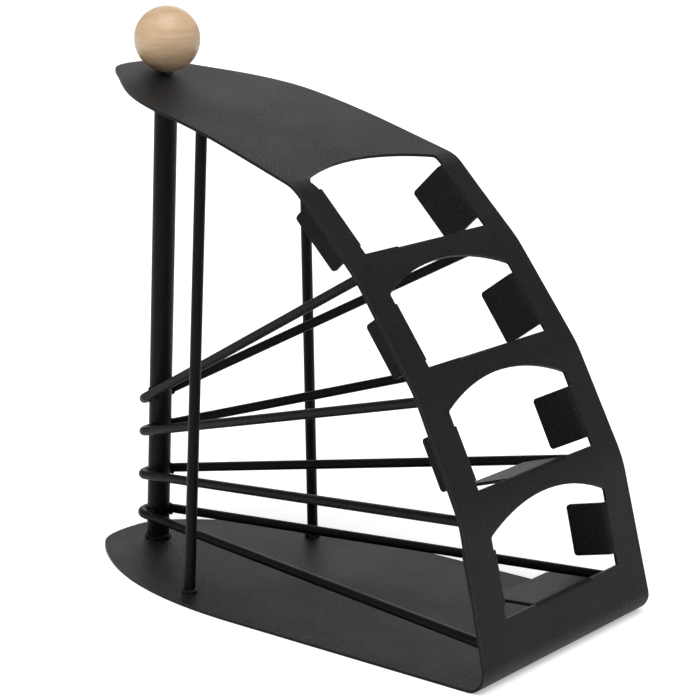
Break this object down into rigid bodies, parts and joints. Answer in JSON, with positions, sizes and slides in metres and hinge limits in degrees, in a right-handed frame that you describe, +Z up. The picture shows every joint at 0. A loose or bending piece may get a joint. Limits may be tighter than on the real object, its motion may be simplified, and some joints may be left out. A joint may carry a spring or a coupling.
{
  "type": "desk remote control rack",
  "caption": "Stepped desk rack of folded black steel: arched windows with bent tabs, wire cradles behind them, a round post and a turned wooden ball on top.",
  "frame": {"origin": "on the floor, midway across and midway from front to back of the folded sheet", "axes": "+X to the right seen from the windowed front, +Y to the back with the post, +Z up"},
  "size_m": [0.107, 0.2096, 0.2112],
  "materials": {
    "sheet": "fine-texture black powder coat",
    "bar": "satin black powder coat",
    "weld": "weld beads under the black powder coat",
    "wood": "sanded light wood, clear satin",
    "bright_steel": "zinc-plated"
  },
  "bodies": {
    "rack": {"centre_post": "bar", "centre_post_foot_weld": "weld", "centre_post_head_weld": "weld", "folded_sheet": "sheet", "left_rod": "bar", "left_rod_foot_weld": "weld", "left_rod_head_weld": "weld", "post_thread_insert": "bright_steel", "right_rod": "bar", "right_rod_foot_weld": "weld", "right_rod_head_weld": "weld", "wire_cradle_1": "bar", "wire_cradle_1_end_weld": "weld", "wire_cradle_1_post_weld": "weld", "wire_cradle_2": "bar", "wire_cradle_2_end_weld": "weld", "wire_cradle_2_post_weld": "weld", "wire_cradle_3": "bar", "wire_cradle_3_end_weld": "weld", "wire_cradle_3_post_weld": "weld", "wire_cradle_4": "bar", "wire_cradle_4_end_weld": "weld", "wire_cradle_4_post_weld": "weld"},
    "ball": {"wooden_ball": "wood", "ball_stud": "bright_steel"}
  },
  "joints": [
    {"name": "ball_turn", "type": "hinge", "parent": "rack", "child": "ball", "pos_m": [0, 0.08248, 0.2], "axis": [0, -0.0269, 0.9996], "continuous": true}
  ]
}
